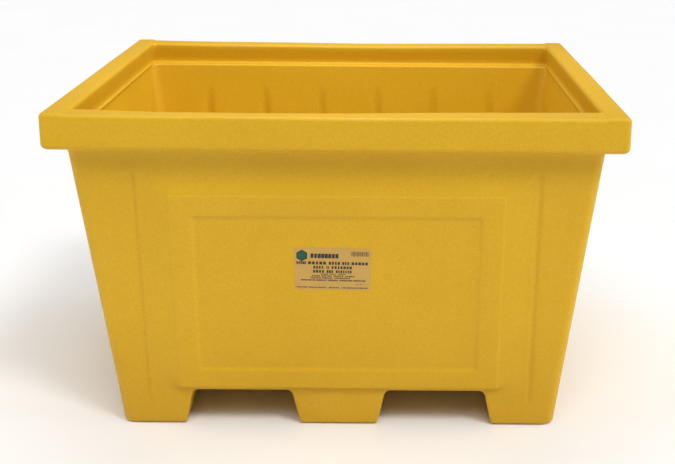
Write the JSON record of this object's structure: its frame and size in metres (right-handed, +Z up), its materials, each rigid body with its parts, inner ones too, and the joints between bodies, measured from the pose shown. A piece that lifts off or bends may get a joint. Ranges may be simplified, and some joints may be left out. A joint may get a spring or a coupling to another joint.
{
  "type": "spill containment tote bin",
  "caption": "Open-topped tapered double-wall plastic bin with a deep box rim, inner seat ledge, moulded runners and fork channels, for containing leaking drums or spills.",
  "frame": {"origin": "on the floor, under the middle of the bin", "axes": "+X along the long side, +Z up, -Y towards the side with the label"},
  "size_m": [1.575, 1.37, 0.968],
  "materials": {
    "yellow_polyethylene": "fine orange-peel moulded grain, satin",
    "insert_brass": "machined",
    "black_plug": "moulded, satin",
    "label_film": "printed adhesive film"
  },
  "bodies": {
    "root": {"tote_body": "yellow_polyethylene", "threaded_insert_front_left_1": "insert_brass", "threaded_insert_front_left_2": "insert_brass", "threaded_insert_front_left_3": "insert_brass", "threaded_insert_front_left_4": "insert_brass", "threaded_insert_rear_left_1": "insert_brass", "threaded_insert_rear_left_2": "insert_brass", "threaded_insert_rear_left_3": "insert_brass", "threaded_insert_rear_left_4": "insert_brass", "threaded_insert_front_right_1": "insert_brass", "threaded_insert_front_right_2": "insert_brass", "threaded_insert_front_right_3": "insert_brass", "threaded_insert_front_right_4": "insert_brass", "threaded_insert_rear_right_1": "insert_brass", "threaded_insert_rear_right_2": "insert_brass", "threaded_insert_rear_right_3": "insert_brass", "threaded_insert_rear_right_4": "insert_brass", "vent_plug_left": "black_plug", "vent_plug_right": "black_plug", "product_label": "label_film"}
  },
  "joints": []
}
